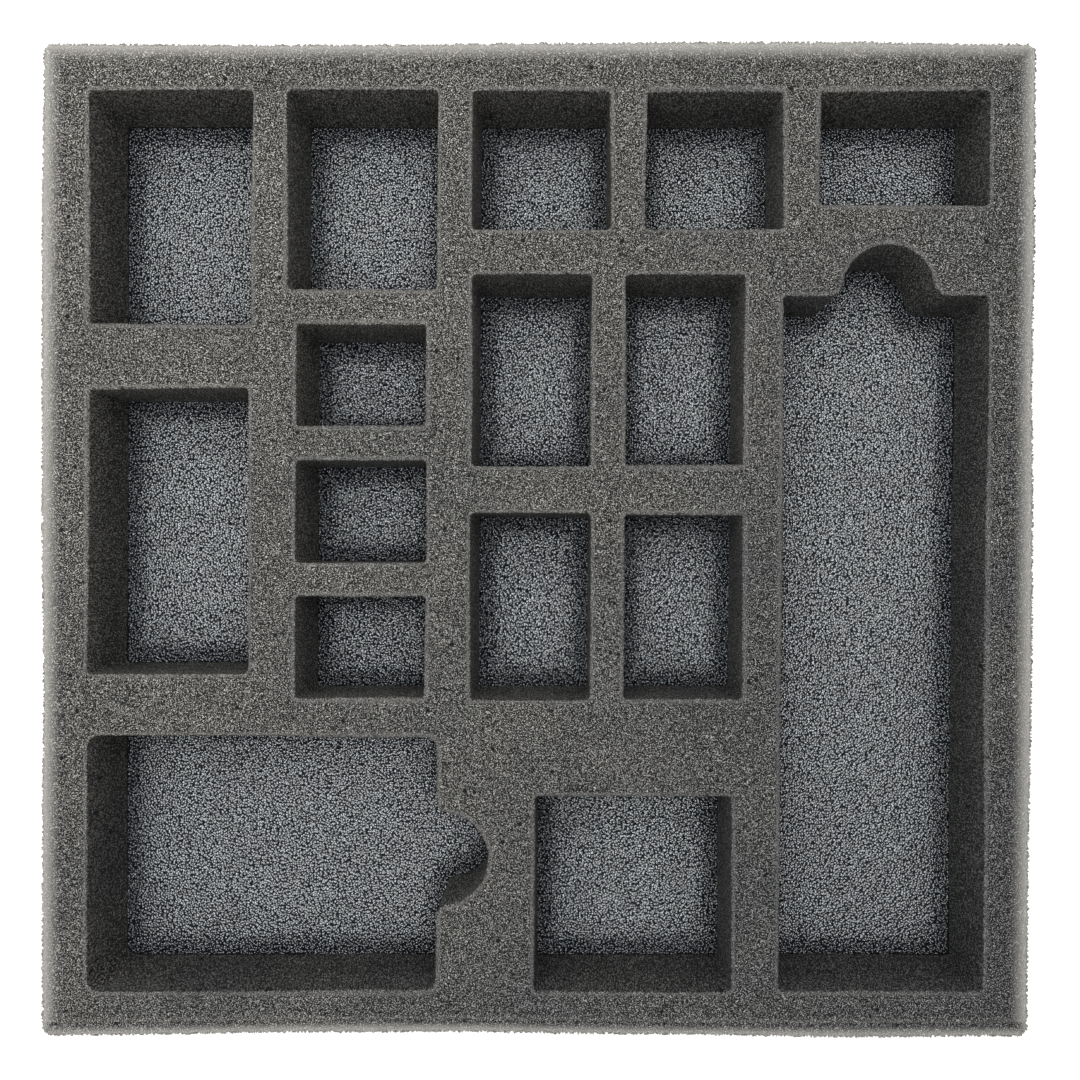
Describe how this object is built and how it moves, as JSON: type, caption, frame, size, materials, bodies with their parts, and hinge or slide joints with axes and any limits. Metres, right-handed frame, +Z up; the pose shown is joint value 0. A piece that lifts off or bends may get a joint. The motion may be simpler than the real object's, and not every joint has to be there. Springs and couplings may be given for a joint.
{
  "type": "box insert organizer",
  "caption": "Square dark grey foam tray that drops into a board-game box and keeps cards, tiles, dice and tokens in deep cut compartments with thumb notches",
  "frame": {"origin": "centre of the underside", "axes": "+Z up out of the compartments, +Y towards the back row of five compartments, +X to the right, where the long tray is"},
  "size_m": [0.2874, 0.2874, 0.0508],
  "materials": {
    "open_cell_foam": "matte",
    "adhesive": "satin",
    "skinned_pad": "pebbled"
  },
  "bodies": {
    "root": {"base_pad": "skinned_pad", "adhesive_film": "adhesive", "foam_body": "open_cell_foam"}
  },
  "joints": []
}
